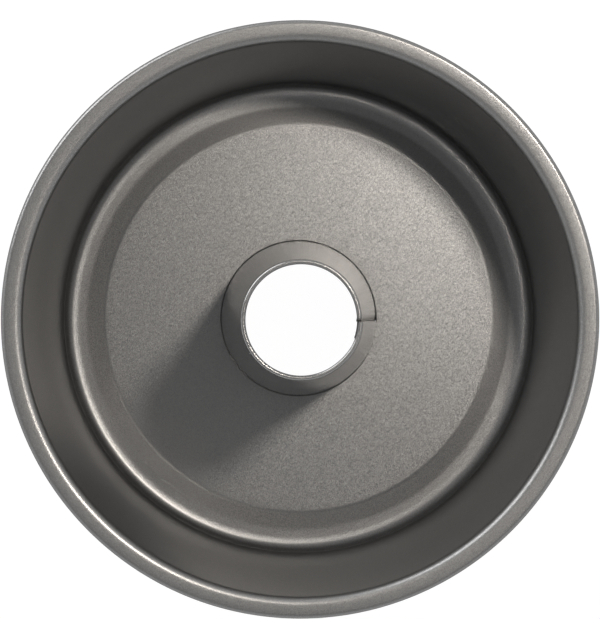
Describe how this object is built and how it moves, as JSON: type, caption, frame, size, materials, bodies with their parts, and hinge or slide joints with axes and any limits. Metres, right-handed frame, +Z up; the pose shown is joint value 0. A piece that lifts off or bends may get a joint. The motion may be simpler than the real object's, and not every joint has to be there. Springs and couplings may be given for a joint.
{
  "type": "tube cake pan",
  "caption": "Round tapered baking pan with a rolled rim, a raised floor and an open cone-shaped centre tube that brings heat to the middle of a ring cake.",
  "frame": {"origin": "middle of the surface the pan stands on, below the centre of the tube", "axes": "+Z up along the tube's axis, +X towards the side of the tube where its sheet laps"},
  "size_m": [0.254, 0.254, 0.129],
  "materials": {
    "body_coat": "satin dark warm-grey non-stick coat on steel with a fine sandy metallic sparkle",
    "tube_coat": "smoother satin dark warm-grey non-stick coat on steel"
  },
  "bodies": {
    "root": {"pan_body": "body_coat", "centre_tube": "tube_coat"}
  },
  "joints": []
}
